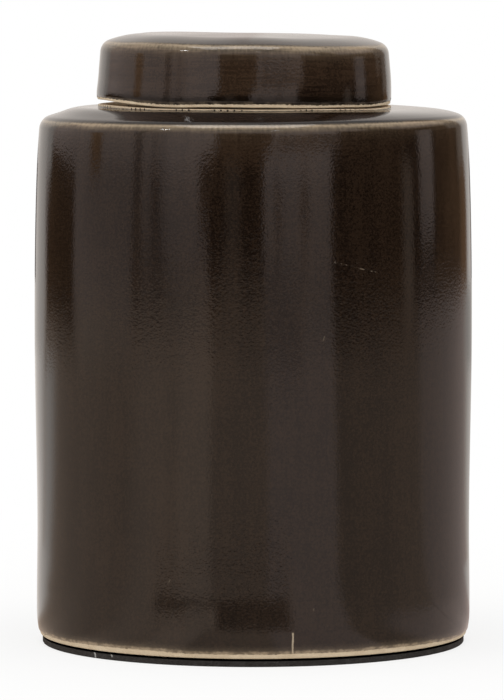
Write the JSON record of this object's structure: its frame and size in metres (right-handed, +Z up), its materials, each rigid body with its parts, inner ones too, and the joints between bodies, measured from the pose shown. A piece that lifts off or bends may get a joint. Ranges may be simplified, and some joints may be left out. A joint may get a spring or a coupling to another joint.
{
  "type": "ceramic storage jar",
  "caption": "Round glazed ceramic storage jar with a domed shoulder, a low cap lid that lifts off the neck, a bare clay foot and a thin foam pad under the base.",
  "frame": {"origin": "centre of the pad's underside, where the jar stands on the table", "axes": "+Z up along the jar; -Y towards the side seen in the picture, +X to the right seen from there"},
  "size_m": [0.1796, 0.1796, 0.25],
  "materials": {
    "glaze": "gloss",
    "pad": "matte"
  },
  "bodies": {
    "jar": {"jar_body": "glaze", "base_pad": "pad"},
    "lid": {"lid": "glaze"}
  },
  "joints": [
    {"name": "lid_lift", "type": "slide", "parent": "jar", "child": "lid", "axis": [0, 0, 1], "range_m": [0, 0.12]}
  ]
}
